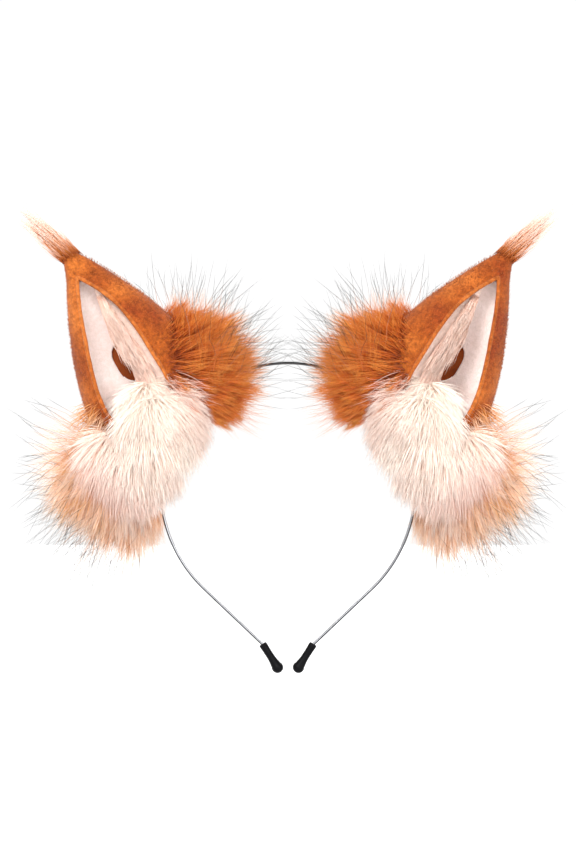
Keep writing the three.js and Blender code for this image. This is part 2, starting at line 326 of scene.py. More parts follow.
class Nodes:
    """Short names for the node calls that the materials below repeat."""

    def __init__(self, name):
        self.material = bpy.data.materials.new(name)
        self.material.use_nodes = True
        self.tree = self.material.node_tree
        self.shader = self.tree.nodes["Principled BSDF"]

    def feed(self, socket, value):
        """Link another node's socket to this one, or set its own value."""
        if isinstance(value, bpy.types.NodeSocket):
            self.tree.links.new(value, socket)
        else:
            socket.default_value = value

    def set(self, **values):
        for key, value in values.items():
            self.feed(self.shader.inputs[key.replace("_", " ")], value)

    def add(self, kind, **inputs):
        node = self.tree.nodes.new(kind)
        for key, value in inputs.items():
            self.feed(node.inputs[key.replace("_", " ")], value)
        return node

    def noise(self, scale, detail, roughness):
        place = self.add("ShaderNodeTexCoord").outputs["Object"]
        node = self.add("ShaderNodeTexNoise", Scale=scale, Detail=detail, Roughness=roughness, Vector=place)
        return node.outputs["Fac"]

    def ramp(self, factor, stops):
        node = self.add("ShaderNodeValToRGB", Fac=factor)
        elements = node.color_ramp.elements
        for i, (place, colour) in enumerate(stops):
            element = elements[i] if i < 2 else elements.new(place)
            element.position = place
            element.color = colour
        return node.outputs["Color"]

    def shades(self, factor, stops):
        """A ramp through 8-bit colours: each stop is its place, red, green and blue."""
        return self.ramp(factor, [(place, srgb(*rgb)) for place, *rgb in stops])

    def mix(self, factor, a, b, blend="MIX"):
        node = self.tree.nodes.new("ShaderNodeMix")
        node.data_type = "RGBA"
        node.blend_type = blend
        for socket, value in ((0, factor), (6, a), (7, b)):
            self.feed(node.inputs[socket], value)
        return node.outputs[2]

    def maths(self, operation, a, b=0):
        node = self.tree.nodes.new("ShaderNodeMath")
        node.operation = operation
        self.feed(node.inputs[0], a)
        self.feed(node.inputs[1], b)
        return node.outputs[0]

    def bump(self, height, strength, distance):
        node = self.add("ShaderNodeBump", Height=height, Strength=strength, Distance=distance)
        self.set(Normal=node.outputs["Normal"])

    def strand_uv(self):
        """Across and along a strand's or tube's UVs: a strand's tone, and how far it is from its root."""
        uv = self.tree.nodes.new("ShaderNodeUVMap")
        uv.uv_map = "OFBake"
        split = self.add("ShaderNodeSeparateXYZ", Vector=uv.outputs["UV"])
        return split.outputs["X"], split.outputs["Y"]


def plush_material(name, dark, mid, light, depth=1.0):
    """Short pile cloth: broad patches where the nap lies differently, tufting, and fine grain."""
    m = Nodes(name)
    blotch = m.noise(55, 2.0, 0.5)
    mottle = m.noise(520, 3.0, 0.7)
    grain = m.noise(1900, 2.0, 0.7)
    base = m.shades(blotch, [(0.28, *dark), (0.72, *light), (0.5, *mid)])
    shade = 1 - 0.36 * depth
    glow = 1 + 0.16 * depth
    dusk = (shade, shade * (1 - 0.06 * depth), shade * (1 - 0.12 * depth), 1)
    patches = m.ramp(mottle, [(0.36, dusk), (0.64, (glow, glow, glow * (1 + 0.1 * depth), 1))])
    speckle = m.ramp(grain, [(0.32, grey(1 - 0.26 * depth)), (0.7, grey(glow))])
    m.set(Base_Color=m.mix(1.0, m.mix(1.0, base, patches, "MULTIPLY"), speckle, "MULTIPLY"))
    m.bump(m.maths("ADD", mottle, grain), 0.55, 0.0006)
    m.set(Roughness=0.95, Specular_IOR_Level=0.12, Sheen_Weight=0.12, Sheen_Roughness=0.5)
    return m.material


def felt_material(name, dark, light):
    m = Nodes(name)
    cloud = m.noise(260, 4.0, 0.7)
    fibre = m.noise(2200, 3.0, 0.8)
    mottle = m.maths("MULTIPLY", cloud, m.maths("ADD", fibre, 0.5))
    m.bump(fibre, 0.6, 0.0004)
    m.set(Base_Color=m.shades(mottle, [(0.25, *dark), (0.75, *light)]))
    m.set(Roughness=0.97, Specular_IOR_Level=0.15, Sheen_Weight=0.3)
    return m.material


def strand_material(name):
    """Hair, from its dark to its light colours by each strand's tone."""
    m = Nodes(name)
    dark, light = HAIR_COLOURS[name]
    tone, along = m.strand_uv()
    m.set(Base_Color=m.mix(tone, m.shades(along, dark), m.shades(along, light)))
    m.set(Roughness=0.55, Specular_IOR_Level=0.2, Sheen_Weight=0.06, Sheen_Roughness=0.4)
    return m.material


def chrome_material(name, light, dark):
    """Polished spring wire: a painted reflection, dark along its outer side and light elsewhere, and faint
    drawing marks.
    """
    m = Nodes(name)
    around, _ = m.strand_uv()
    from_outer = m.maths("MULTIPLY", m.maths("ABSOLUTE", m.maths("SUBTRACT", around, 0.5)), 2)
    # Painted reflection: light on the inner side, dark along the outer side, where the wire would mirror dark
    # surroundings.
    painted_reflection = m.shades(from_outer, [(0.0, *light), (0.44, *light), (0.56, *dark)])
    marks = m.noise(3200, 2.0, 0.7)
    m.set(Base_Color=m.mix(0.2, painted_reflection, m.shades(marks, [(0.3, *dark), (0.6, *light)])))
    m.set(Roughness=m.ramp(marks, [(0.3, grey(0.14)), (0.7, grey(0.3))]), Metallic=1.0)
    return m.material


def rubber_material():
    m = Nodes("black_rubber")
    cloud = m.noise(420, 3.0, 0.6)
    grain = m.noise(3500, 2.0, 0.6)
    m.bump(grain, 0.25, 0.0001)
    m.set(Base_Color=m.shades(cloud, [(0.3, 4, 4, 6), (0.7, 10, 10, 13)]))
    m.set(Roughness=m.ramp(grain, [(0.3, grey(0.42)), (0.7, grey(0.58))]), Specular_IOR_Level=0.08)
    return m.material


def thread_material():
    """Twisted thread: stripes that run round it many times, painted shade that is dark at the grooves between
    the plies and light on each ply.
    """
    m = Nodes("sewing_thread")
    around, along = m.strand_uv()
    turns = m.maths("ADD", m.maths("MULTIPLY", along, 400), m.maths("MULTIPLY", around, 2))
    # Painted shade: dark in the grooves between plies, light on each ply's crest.
    painted_ply_shade = [(0.1, 120, 58, 22), (0.5, 190, 112, 52), (0.9, 130, 66, 26)]
    m.set(Base_Color=m.shades(m.maths("FRACT", turns), painted_ply_shade), Roughness=0.6, Specular_IOR_Level=0.3)
    return m.material


ORANGE_PLUSH = plush_material("orange_plush", (130, 54, 17), (156, 77, 24), (187, 104, 40))
# The hem is the same orange plush made lighter: painted highlight along the rolled mouth edge.
HEM_PLUSH_PAINTED_HIGHLIGHT = plush_material("hem_plush_painted_highlight", (154, 78, 28), (176, 96, 38), (196, 116, 54))
LINING_PLUSH = plush_material("lining_plush", (247, 229, 220), (251, 236, 229), (254, 243, 237), 0.2)
# The flap is the lining's cloth made darker and more beige: painted shade.
FOLD_PLUSH_PAINTED_SHADE = plush_material("fold_plush_painted_shade", (226, 198, 182), (234, 208, 193), (242, 220, 207), 0.35)
STIFFENER_FELT = felt_material("stiffener_felt", (120, 52, 16), (158, 76, 28))
PAD_FELT = felt_material("pad_felt", (120, 66, 34), (160, 92, 50))
# The arms' chrome carries the painted reflection along the wire's outer side.
CHROME = chrome_material("chrome_wire_painted_reflection", (158, 159, 163), (24, 24, 28))
# The crown's stretch is the same chrome made darker: painted shade on top of the painted reflection.
SHADED_CHROME = chrome_material("chrome_crown_painted_shade", (84, 82, 82), (16, 16, 18))
RUBBER = rubber_material()
THREAD = thread_material()
# Colour stops from root to tip, of the darkest strands and of the lightest.
HAIR_COLOURS = {
    "cream_hair": (
        [(0.0, 252, 237, 220), (0.35, 253, 241, 228), (1.0, 254, 245, 237)],
        [(0.0, 240, 200, 182), (0.35, 246, 213, 200), (1.0, 249, 215, 202)],
    ),
    "wisp_hair": (
        [(0.0, 212, 158, 128), (0.4, 230, 190, 166), (1.0, 240, 210, 190)],
        [(0.0, 226, 186, 170), (0.4, 246, 220, 208), (1.0, 254, 240, 232)],
    ),
    "orange_hair": (
        [(0.0, 136, 46, 10), (0.5, 190, 82, 18), (1.0, 214, 116, 32)],
        [(0.0, 172, 66, 14), (0.5, 224, 122, 36), (1.0, 248, 184, 96)],
    ),
    "peach_hair": (
        [(0.0, 180, 92, 26), (0.4, 214, 132, 48), (1.0, 238, 180, 118)],
        [(0.0, 224, 148, 92), (0.4, 246, 204, 168), (1.0, 255, 238, 230)],
    ),
    "tip_hair": (
        [(0.0, 140, 58, 16), (0.4, 176, 86, 28), (0.75, 206, 122, 58), (1.0, 226, 156, 102)],
        [(0.0, 156, 70, 20), (0.28, 206, 122, 58), (0.5, 248, 212, 190), (1.0, 255, 248, 243)],
    ),
    "guard_hair": (
        [(0.0, 176, 84, 32), (0.46, 196, 112, 56), (0.6, 24, 18, 18), (1.0, 6, 5, 6)],
        [(0.0, 206, 128, 76), (0.6, 224, 186, 160), (0.76, 40, 32, 32), (1.0, 14, 12, 13)],
    ),
    "fringe_orange": (
        [(0.0, 140, 48, 10), (0.5, 190, 86, 20), (1.0, 218, 122, 42)],
        [(0.0, 166, 64, 14), (0.5, 218, 116, 34), (1.0, 244, 176, 96)],
    ),
    "fringe_peach": (
        [(0.0, 200, 114, 38), (0.5, 228, 158, 86), (1.0, 246, 206, 166)],
        [(0.0, 236, 182, 142), (0.5, 251, 224, 206), (1.0, 255, 244, 238)],
    ),
    "nap_hair": (
        [(0.0, 130, 56, 16), (1.0, 158, 76, 24)],
        [(0.0, 164, 84, 28), (1.0, 198, 118, 50)],
    ),
}

# ---------------- the wire band and what is on it

BAND_RUNS = (
    (ARCH_R * ARCH_TURN, ARCH_R),
    (SIDE_R * SIDE_TURN, SIDE_R),
    (STRAIGHT, None),
    (TIP_BEND_R * TIP_BEND, -TIP_BEND_R),
    (WIRE_IN_TIP, None),
)
BAND_LENGTH = sum(length for length, _ in BAND_RUNS)
CROWN_PIECE = math.radians(17)
BEND_FROM = math.radians(17.2)
BEND_TO = math.radians(31)
BORE_DEEP = 11.0
BALL_AT = 12.8
BALL_R = 2.65
SLEEVE_ANGLES = (34, 82)
SLEEVE_BORE_R = 0.97
SLEEVE_END_R = 1.25
SLEEVE_R = 2.05
WHIP_TURNS = 7
WHIP_R = 2.5
THREAD_R = 0.25


def band_at(distance):
    """The wire's centre line at a distance from the crown, in row millimetres, and how far it slopes down."""
    left, x, z, slope = distance, 0.0, WIRE_R, 0.0
    for length, radius in BAND_RUNS:
        run = min(left, length)
        if radius is None:
            x -= run * math.cos(slope)
            z -= run * math.sin(slope)
        else:
            turned = slope + run / radius
            x -= radius * (math.sin(turned) - math.sin(slope))
            z -= radius * (math.cos(slope) - math.cos(turned))
            slope = turned
        left -= run
    return np.array([x, 0.0, z]), slope


def turned_rings(centres, slopes, radii, sides):
    """Rings round points of the band, square to it: one row for each point."""
    slopes = np.asarray(slopes)
    out = np.stack([-np.sin(slopes), 0 * slopes, np.cos(slopes)], axis=-1)
    turn = np.arange(sides) / sides * 2 * np.pi
    ring = np.cos(turn)[None, :, None] * out[:, None] + np.sin(turn)[None, :, None] * (0, 1, 0)
    return np.asarray(centres)[:, None] + np.asarray(radii)[:, None, None] * ring


def closed_rings(rings):
    """Rings joined in order and the last to the first, as round a sleeve with a bore."""
    count, sides = rings.shape[:2]
    quads = wrapped_faces(count + 1, sides) % (count * sides)
    return rings.reshape(-1, 3), [quads], [wrapped_uvs(count + 1, sides)]


def make_wire():
    """The crown's stretch rides on the crown; each arm runs on from next to it, so the wire stays one line.
    """
    turns = np.linspace(-CROWN_PIECE, CROWN_PIECE, 25)
    crown = np.stack([-ARCH_R * np.sin(turns), 0 * turns, ARCH_Z + ARCH_R * np.cos(turns)], axis=-1)
    verts, polys, uvs = tube(crown, WIRE_R, 16)
    # The crown's stretch takes the darker chrome, which is painted shade.
    piece = mesh_object("crown_arch", verts * MM, polys, uvs, SHADED_CHROME)
    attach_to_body(piece, "crown")
    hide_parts("crown_wire")
    seam = ARCH_R * CROWN_PIECE
    arm = np.linspace(seam, BAND_LENGTH - 12, 90)
    end_bend = np.linspace(BAND_LENGTH - 11, BAND_LENGTH, 16)
    path = np.array([band_at(d)[0] for d in (seam - 0.3, *arm, *end_bend)])
    radii = np.full(len(path), WIRE_R)
    radii[0] = 0.75 * WIRE_R
    verts, polys, uvs = tube(path, radii, 16)
    bend = [band_at(ARCH_R * angle)[0] * MM for angle in (BEND_FROM, BEND_TO)]
    for side, wire in pair_of("wire", verts * MM, polys, uvs, CHROME):
        start, end = [point * FLIPS[side] for point in bend]
        tuple(start)
        tuple(end)
        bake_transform(wire)
        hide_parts(f"{side}_wire_arm")


def make_end_caps():
    """A rubber tip turned round the wire's end: its bore, rolled lip, waist and ball."""
    point, slope = band_at(BAND_LENGTH)
    down = np.array([-math.cos(slope), 0, -math.sin(slope)])
    mouth = point - down * (WIRE_IN_TIP + 1.2)
    bore = [(BORE_DEEP, 0.02), (BORE_DEEP, 0.5), (10.8, 0.95), (6.0, 0.95), (0.5, 0.95), (0.12, 1.02)]
    lip = [(0.0, 1.2), (0.0, 1.5), (0.12, 1.72), (0.45, 1.84), (0.9, 1.86)]
    waist = [(2.0, 1.8), (4.0, 1.74), (6.0, 1.72), (8.0, 1.78), (9.5, 1.95), (10.8, 2.22)]
    turns = np.radians([58, 68, 80, 92, 105, 120, 135, 150, 163, 173])
    ball = [(BALL_AT - BALL_R * math.cos(a), BALL_R * math.sin(a)) for a in turns]
    profile = bore + lip + waist + ball
    centres = [mouth + down * t for t, _ in profile]
    rings = turned_rings(centres, [slope] * len(profile), [r for _, r in profile], 40)
    count, sides = rings.shape[:2]
    poles = np.stack([mouth + down * BORE_DEEP, mouth + down * (BALL_AT + BALL_R)])
    verts = np.concatenate([rings.reshape(-1, 3), poles])
    polys = [wrapped_faces(count, sides), pole_fans(count, sides)]
    on_both_sides("rubber_cap", (verts * MM, polys, None), RUBBER, "arm", "rubber_tip", ["end_cap"])


def make_sleeve():
    """The felt tunnel round the wire, a little lumpy, and the thread that whips it closed."""
    count = 60
    spots = np.linspace(*[math.radians(angle) for angle in SLEEVE_ANGLES], count) * ARCH_R
    ends = np.minimum(1, np.minimum(np.arange(count), np.arange(count)[::-1]) / 3)
    wobble = 0.07 * np.sin(spots * 1.3) + 0.05 * np.sin(spots * 2.9 + 1)
    outer = SLEEVE_END_R + (SLEEVE_R - SLEEVE_END_R) * np.sqrt(ends) + wobble * ends
    back = spots[::-4]
    where = [band_at(d) for d in np.concatenate([spots, back])]
    radii = np.concatenate([outer, np.full(len(back), SLEEVE_BORE_R)])
    rings = turned_rings([p for p, _ in where], [s for _, s in where], radii, 24)
    on_both_sides("felt_tunnel", closed_rings(rings * MM), PAD_FELT, "sleeve", "felt", ["wire_sleeve"])
    share = np.linspace(0, 1, WHIP_TURNS * 26)
    path = []
    for d, t in zip(ARCH_R * np.radians(36 + share * 44), share):
        point, slope = band_at(d)
        out = np.array([-math.sin(slope), 0, math.cos(slope)])
        turn = t * WHIP_TURNS * 2 * math.pi
        path.append(point + WHIP_R * (math.cos(turn) * out + math.sin(turn) * np.array([0, 1, 0])))
    verts, polys, uvs = tube(path, THREAD_R, 8)
    on_both_sides("whip_thread", (verts * MM, polys, uvs), THREAD, "sleeve", "thread", ["sleeve_stitching"])


make_wire()
make_end_caps()
make_sleeve()

# ---------------- the ear's shape


def ear_width(u):
    below = 1 - (u / EAR_SKIRT) ** 2
    above = 1 - (np.clip(u, 0, EAR_TALL) / EAR_TALL) ** EAR_TAPER
    return EAR_HALF_WIDTH * np.where(u < 0, below, above)


def ear_depth(u):
    return EAR_FLATNESS * ear_width(u) + 0.6


def on_ear(theta, u, inset=0.0):
    """A point of the ear: theta is 0 towards the crown, 90 degrees at the back; u is its height."""
    bend = (np.clip(u - TIP_BEND_FROM, 0, None) / (EAR_TOP - TIP_BEND_FROM)) ** 2
    x = EAR_MID + np.maximum(ear_width(u) - inset, 0.05) * np.cos(theta) - TIP_ASIDE * bend
    y = np.maximum(ear_depth(u) - inset, 0.05) * np.sin(theta)
    return np.stack([x, y, u + TIP_ALONG * bend + 0 * theta], axis=-1)


def ear_normal(theta, u):
    step = 0.5
    w, d = ear_width(u), ear_depth(u)
    dw = (ear_width(u + step) - ear_width(u - step)) / (2 * step)
    dd = (ear_depth(u + step) - ear_depth(u - step)) / (2 * step)
    c, s = np.cos(theta), np.sin(theta)
    return unit(np.stack([d * c, w * s, -(w * dd * s * s + d * dw * c * c)], axis=-1))


def curve_through(x, knots):
    """A smooth curve y(x) through knots (x, y), in rising order of x."""
    xs, ys = np.array(knots, float).T
    slopes = np.gradient(ys, xs)
    x = np.clip(x, xs[0], xs[-1])
    i = np.clip(np.searchsorted(xs, x, side="right") - 1, 0, len(xs) - 2)
    h = xs[i + 1] - xs[i]
    t = (x - xs[i]) / h
    a = (1 + 2 * t) * (1 - t) ** 2 * ys[i] + t * t * (3 - 2 * t) * ys[i + 1]
    return a + h * (t * (1 - t) ** 2 * slopes[i] - t * t * (1 - t) * slopes[i + 1])


# The mouth's two edges: the height, and x there.
MOUTH_LOW = -2.0
MOUTH_TOP = 79.5
APEX_X = 2.6
MOUTH_CROWN_SIDE = (
    (MOUTH_LOW, 2), (1, 9), (6, 14), (19, 16.6), (33, 16.3),
    (49, 15.3), (62, 12.5), (71, 8.3), (76.5, 4.8), (MOUTH_TOP, APEX_X),
)
MOUTH_OUTER_SIDE = (
    (MOUTH_LOW, 2), (1, -6), (6, -12), (15, -16), (26, -15.8),
    (39, -12.9), (52.5, -8.5), (66, -3.8), (76, 0.6), (MOUTH_TOP, APEX_X),
)


def mouth_angles(u, inset=0.0, grow=0.0):
    """The angles of the mouth's two edges at a height, the outer one counted round by the back."""
    w = np.maximum(ear_width(u) - inset, 0.05)
    inside = (u > MOUTH_LOW) & (u < MOUTH_TOP)
    seam = np.where(u < 0, (2 - EAR_MID) / w, np.clip((APEX_X - EAR_MID) / w, -0.9, -0.2))
    crown = np.where(inside, (curve_through(u, MOUTH_CROWN_SIDE) + grow - EAR_MID) / w, seam)
    outer = np.where(inside, (curve_through(u, MOUTH_OUTER_SIDE) - grow - EAR_MID) / w, seam)
    crown, outer = np.clip(crown, -0.98, 0.98), np.clip(outer, -0.98, 0.98)
    return -np.arccos(crown), -np.arccos(outer) + 2 * np.pi


def foot_height(x):
    """How low the ear's layers reach: they stand on the felt strip that follows the band."""
    under = np.sqrt(np.maximum(FOOT_R**2 - (x - ARCH_CENTRE[0]) ** 2, 0))
    return np.maximum(ARCH_CENTRE[2] + under, -EAR_BELOW)


def ear_grid(rows, columns, inset, top, grow=0.0):
    """A sheet round the ear from one edge of the mouth to the other: its angles and heights."""
    t = np.linspace(0, 1, rows)[:, None] + 0 * np.linspace(0, 1, columns)[None]
    c = np.linspace(0, 1, columns)[None] + 0 * t
    u = t * top
    for _ in range(12):
        first, last = mouth_angles(u, inset, grow)
        theta = first + (last - first) * c
        foot = foot_height(EAR_MID + (ear_width(np.minimum(u, 0)) - inset) * np.cos(theta))
        u = foot + (top - foot) * t
    return theta, u


def turned_out(obj, weld=False):
    """All faces turned outwards, after welding what meets if asked."""
    work = bmesh.new()
    work.from_mesh(obj.data)
    if weld:
        bmesh.ops.remove_doubles(work, verts=work.verts, dist=2e-5)
        bmesh.ops.dissolve_degenerate(work, edges=work.edges, dist=1e-6)
    bmesh.ops.recalc_face_normals(work, faces=work.faces)
    work.to_mesh(obj.data)
    work.free()


def both_from(obj, name, slot, node):
    """A finished piece in ear millimetres becomes the left one, and its mirror image the right one."""
    co = np.empty(len(obj.data.vertices) * 3)
    obj.data.vertices.foreach_get("co", co)
    row = ear_to_row(co.reshape(-1, 3) / MM)
    for side, flip in FLIPS.items():
        mesh = obj.data.copy()
        mesh.vertices.foreach_set("co", (row * flip).ravel())
        if side == "right":
            mesh.flip_normals()
        mesh.update()
        piece = bpy.data.objects.new(f"{side}_{name}", mesh)
        mesh.name = piece.name
        bpy.context.scene.collection.objects.link(piece)
        attach(piece, side, "ear", slot, [node])
    bpy.data.objects.remove(obj)


def sewn_in(name, points, faces, material, thickness, slot, node, levels=1):
    """A cloth of the ear on each side: given its thickness inwards, and rounded off."""
    obj = mesh_object(name, points.reshape(-1, 3) * MM, [faces], material=material)
    turned_out(obj, weld=True)
    solid = obj.modifiers.new("thickness", "SOLIDIFY")
    solid.thickness = thickness * MM
    solid.offset = -1
    smooth = obj.modifiers.new("smooth", "SUBSURF")
    smooth.levels = smooth.render_levels = levels
    depsgraph = bpy.context.evaluated_depsgraph_get()
    mesh = bpy.data.meshes.new_from_object(obj.evaluated_get(depsgraph))
    obj.modifiers.clear()
    obj.data = mesh
    mesh.polygons.foreach_set("use_smooth", np.ones(len(mesh.polygons), bool))
    both_from(obj, name, slot, node)


def waves(points, size, amount, seed):
    """Soft unevenness: a few broad ripples of the given size, as one number for each point."""
    local = np.random.default_rng(seed)
    total = 0
    for _ in range(5):
        k = local.normal(size=3)
        k *= 2 * np.pi / size / np.linalg.norm(k) * local.uniform(0.6, 1.4)
        total = total + np.sin(points @ k + local.uniform(0, 2 * np.pi))
    return amount * total / 2.2


def make_shell():
    rows, columns = 72, 84
    theta, u = ear_grid(rows, columns, 0.0, EAR_TOP)
    points = on_ear(theta, u)
    points = points + ear_normal(theta, u) * (waves(points, 34, 0.35, 3) - 0.35)[..., None]
    sewn_in("ear_plush", points, grid_faces(rows, columns), ORANGE_PLUSH, SHELL_THICK, "plush", "ear_shell")


SLIT_MID = 35.5
SLIT_HALF = 9.0


def slit_edge(z):
    """The bowed edge of the slit in the lining's back, at a height."""
    return 1.5 - 4.0 * np.sqrt(np.maximum(0, 1 - ((z - SLIT_MID) / SLIT_HALF) ** 2))


def make_lining():
    rows, columns = 64, 96
    theta, u = ear_grid(rows, columns, LINING_INSET, 78.0, grow=0.4)
    points = on_ear(theta, u, LINING_INSET)
    points[..., 1] += waves(points, 30, 0.3, 5)
    points = points.reshape(-1, 3)
    faces = grid_faces(rows, columns)
    x, y, z = points[faces].mean(axis=1).T
    slit = (y > 0) & (np.abs(z - SLIT_MID) < SLIT_HALF) & (x > slit_edge(z)) & (x < 9)
    rim = np.intersect1d(faces[slit], faces[~slit])
    edge = points[rim]
    bowed = slit_edge(edge[:, 2]) + waves(edge, 4, 0.15, 11)
    edge[:, 0] = np.where(edge[:, 0] < 4, bowed, edge[:, 0])
    points[rim] = edge
    sewn_in("lining_cloth", points, faces[~slit], LINING_PLUSH, LINING_THICK, "lining", "ear_lining")


STIFFENER_INSET = 1.9


def make_stiffener():
    rows, columns = 40, 60
    theta, u = ear_grid(rows, columns, STIFFENER_INSET, 79.0, grow=0.9)
    points = on_ear(theta, u, STIFFENER_INSET)
    faces = grid_faces(rows, columns)
    sewn_in("stiff_felt", points, faces, STIFFENER_FELT, 1.0, "stiffener", "ear_stiffener", levels=0)


FOLD_LOW, FOLD_HIGH = 12.0, 73.0
FOLD_EDGE = ((12, 2.8), (27, 3.2), (34, 4.6), (40, 4.9), (45, 3.0), (56, 4.0), (67, 6.0), (73, 7.0))


def fold_point(across, u):
    """The soft flap down the mouth's crown side: 0 is its free edge, 1 where it is sewn on."""
    free = curve_through(u, FOLD_EDGE)
    fixed = curve_through(u, MOUTH_CROWN_SIDE) + 0.6
    w, d = ear_width(u) - 4.4, ear_depth(u) - 4.4
    deep = -d * np.sqrt(np.clip(1 - ((fixed - EAR_MID) / w) ** 2, 0, 1))
    x = free + (fixed - free) * across
    belly = 1.6 * np.sin(across * np.pi) * smoothstep(FOLD_HIGH - u, 0, 12)
    start = -2.2 + smoothstep(u, 50, 73) * -1.6
    y = start + (deep - start) * across - belly
    return np.stack([x, y, u + 0 * across], axis=-1)


def make_fold():
    rows, columns = 56, 16
    u = np.linspace(FOLD_LOW, FOLD_HIGH, rows)[:, None] + 0 * np.arange(columns)[None]
    across = np.linspace(0, 1, columns)[None] + 0 * u
    points = fold_point(across, u)
    # The flap's cloth is the lining's, darker: painted shade.
    sewn_in("fold_cloth", points, grid_faces(rows, columns), FOLD_PLUSH_PAINTED_SHADE, 1.2, "lining", "inner_fold")


def mouth_path():
    """Points along the edge of the mouth, from the crown side's foot over the apex to the outer side's."""
    u = np.concatenate([np.linspace(3, 76, 60), 76 + 3.4 * np.sin(np.linspace(0.1, 1, 12) * np.pi / 2)])
    crown, outer = [on_ear(theta, u, 0.8) for theta in mouth_angles(u)]
    return np.concatenate([crown, outer[::-1]])


def make_hem():
    """The plush turned in round the mouth, as a soft roll, in a lighter plush that is painted highlight."""
    path = mouth_path()
    for _ in range(6):
        path[1:-1] = (path[:-2] + 2 * path[1:-1] + path[2:]) / 4
    radii = 0.95 + waves(path, 12, 0.06, 9)
    radii[:2] *= (0.5, 0.8)
    radii[-2:] *= (0.8, 0.5)
    verts, polys, uvs = tube(path, radii, 12)
    on_both_sides("mouth_hem", (ear_to_row(verts), polys, uvs), HEM_PLUSH_PAINTED_HIGHLIGHT, "ear", "plush")


def make_pad():
    """The leaf of felt that closes the ear's foot, as wide as the ear there, curved to follow the band."""
    sides = 28
    angles = np.radians(90) + np.linspace(math.radians(33), math.radians(97.5), 56) - EAR_LEAN
    middle = PAD_IN_R + 0.8
    x = ARCH_CENTRE[0] + middle * np.cos(angles)
    z = ARCH_CENTRE[2] + middle * np.sin(angles)
    reach = 1 - ((x - EAR_MID) / (ear_width(z) - 0.9)) ** 2
    half = (ear_depth(z) - 0.9) * np.sqrt(np.clip(reach, 0.004, 1))
    inside = reach > 0.01
    angles, half = angles[inside], half[inside]
    turn = np.linspace(0, 2 * np.pi, sides, endpoint=False)
    c, s = np.cos(turn), np.sin(turn)
    thick = 0.72 * np.clip(half / 3, 0.25, 1)[:, None] * (np.sign(s) * np.abs(s) ** 0.6)[None]
    y = half[:, None] * (np.sign(c) * np.abs(c) ** 0.6)[None]
    radius = middle + thick + 0.12 * np.sin(y * 0.9) * np.sin(angles * 40)[:, None]
    x = ARCH_CENTRE[0] + radius * np.cos(angles)[:, None]
    z = ARCH_CENTRE[2] + radius * np.sin(angles)[:, None]
    verts = np.stack([x, y, z], axis=-1).reshape(-1, 3)
    polys = [wrapped_faces(len(half), sides), end_polygons(len(half), sides)]
    obj = mesh_object("pad", verts * MM, polys, material=PAD_FELT)
    turned_out(obj)
    both_from(obj, "foot_felt", "felt", "base_pad")


make_shell()
make_lining()
make_stiffener()
make_fold()
make_hem()
make_pad()

# ---------------- fur

# A strand's tone is told by which of these cells its UVs lie in.
CELLS = 32


def lump(x, y, z, *half_sizes):
    """A lump of backing under the fur: its centre, and half its size along each axis."""
    return np.array([x, y, z]), np.array(half_sizes)


INNER_CORE = [
    lump(2.0, -16.0, 1.0, 18.0, 8.0, 14.0),
    lump(-12.0, -16.0, -9.0, 16.0, 8.0, 13.0),
    lump(-22.5, -11.5, -2.0, 12.0, 7.5, 13.0),
    lump(3.0, -10.0, 9.0, 13.0, 7.5, 13.0),
    lump(-5.0, -16.5, -5.0, 13.0, 9.0, 11.0),
]
TUFT_BACK = 0.35
CHEEK_CORE = [
    lump(-29.0, 1.0, -5.0, 10.0, 11.0, 19.0),
    lump(-27.0, 4.0, -19.0, 11.0, 10.0, 12.0),
]
CROWN_CORE = [
    lump(31.0, 0.0, 18.5, 8.0, 11.0, 13.0),
    lump(29.0, 1.0, 9.0, 6.0, 8.0, 7.0),
    lump(28.5, -10.5, 3.0, 7.0, 6.0, 8.0),
]
BEHIND_CROWN = [lump(22.0, 8.0, 32.0, 7.0, 3.0, 9.0)]
DEEPEST_FRONT = -41.0
DEEPEST_BACK = 31.0
SOFT_LIMIT = 8.0
WIDEST = 131.0
LOWEST_HAIR = (74.0, 96.0)
NAP_HAIRS = 12000


def bent(roots, first, last, lengths, steps=4):
    """Paths of strands that leave along one direction and end along another: a row of points for each."""
    s = np.linspace(0, 1, steps + 1)[None, :, None]
    way = first[:, None] * (s - s * s / 2) + last[:, None] * s * s / 2
    return roots[:, None] + lengths[:, None, None] * way


def clumped(paths, guides, pull):
    """Strands drawn towards the nearest of some guide strands, the more so towards their tips."""
    chosen = rng.choice(len(paths), guides, replace=False)
    middle = paths[:, 1]
    nearest = np.empty(len(paths), int)
    for start in range(0, len(paths), 2000):
        part = slice(start, start + 2000)
        gap = ((middle[part, None] - middle[None, chosen]) ** 2).sum(axis=-1)
        nearest[part] = chosen[np.argmin(gap, axis=1)]
    s = np.linspace(0, 1, paths.shape[1])
    share = (pull[:, None] * s[None] ** 1.4)[..., None]
    return paths * (1 - share) + paths[nearest] * share


def frizzed(paths, amount):
    """Each strand strays a little from its line, by an amount in millimetres at its tip."""
    count, points = paths.shape[:2]
    s = np.linspace(0, 1, points)
    stray = rng.normal(size=(count, 1, 3)) * s[None, :, None] ** 1.5
    kink = rng.normal(size=(count, 1, 3)) * np.sin(s * rng.uniform(4, 9, (count, 1)))[..., None] * 0.5
    return paths + (stray + kink) * amount / 1.7


